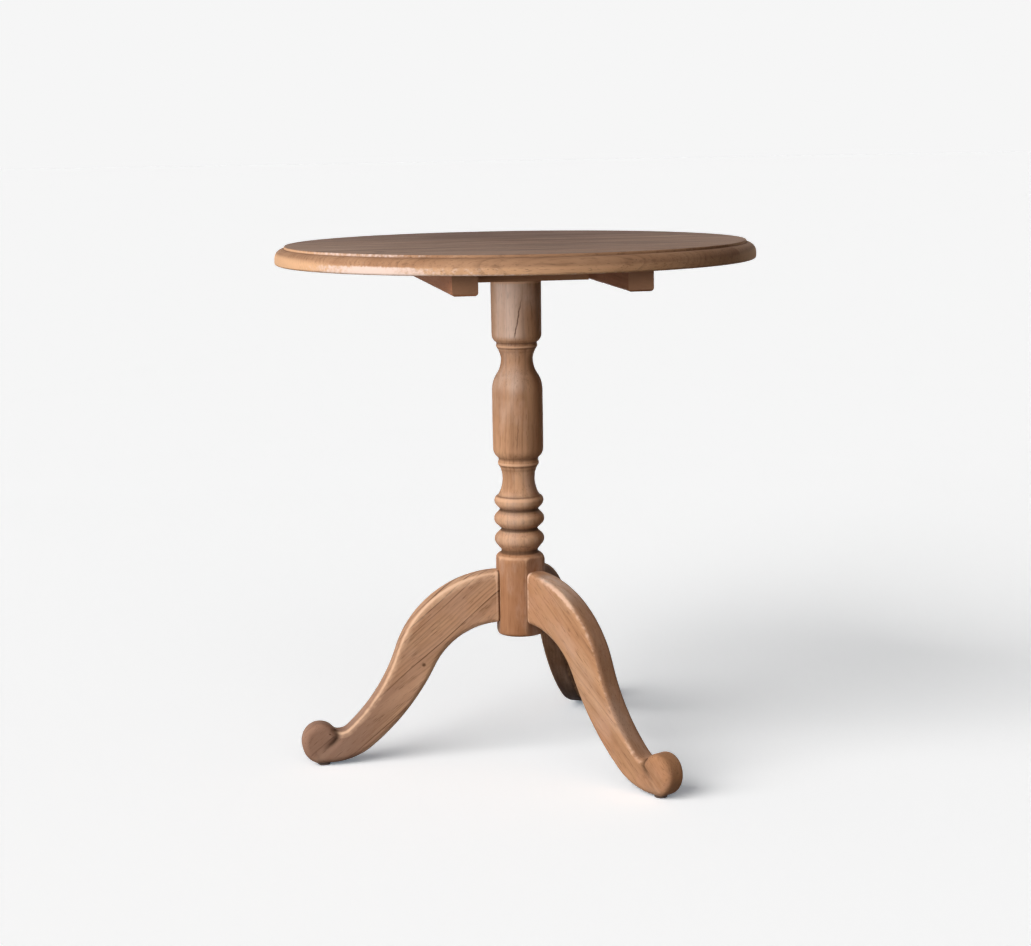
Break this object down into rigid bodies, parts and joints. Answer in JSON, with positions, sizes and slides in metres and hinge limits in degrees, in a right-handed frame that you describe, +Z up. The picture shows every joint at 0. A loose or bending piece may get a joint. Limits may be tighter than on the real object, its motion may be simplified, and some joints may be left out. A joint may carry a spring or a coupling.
{
  "type": "wine table",
  "caption": "Small round wine table: planked top with a moulded rim on a batten frame, turned pedestal post and scrolled tripod legs on nailed glides.",
  "frame": {"origin": "on the floor under the axis of the post", "axes": "+Z up along the post; -X towards the left leg; the battens run along Y and the top boards along X"},
  "size_m": [0.6, 0.6, 0.66],
  "materials": {
    "top_wood": "waxed, worn at the rim",
    "frame_wood": "waxed",
    "post_wood": "waxed, turned",
    "leg_wood": "waxed, rounded edges",
    "dowel_wood": "bare",
    "fastener_steel": "zinc plated",
    "glide_plastic": "matt"
  },
  "bodies": {
    "root": {"top_board_1": "top_wood", "top_board_2": "top_wood", "top_board_3": "top_wood", "top_board_4": "top_wood", "top_board_5": "top_wood", "seam_dowels": "dowel_wood", "batten_left": "frame_wood", "batten_right": "frame_wood", "cross_rail": "frame_wood", "batten_screws": "fastener_steel", "rail_screws": "fastener_steel", "post": "post_wood", "tenon_wedge": "dowel_wood", "leg_left": "leg_wood", "leg_rear": "leg_wood", "leg_front": "leg_wood", "leg_dowels": "dowel_wood", "glide_left": "glide_plastic", "glide_rear": "glide_plastic", "glide_front": "glide_plastic", "glide_nails": "fastener_steel"}
  },
  "joints": []
}
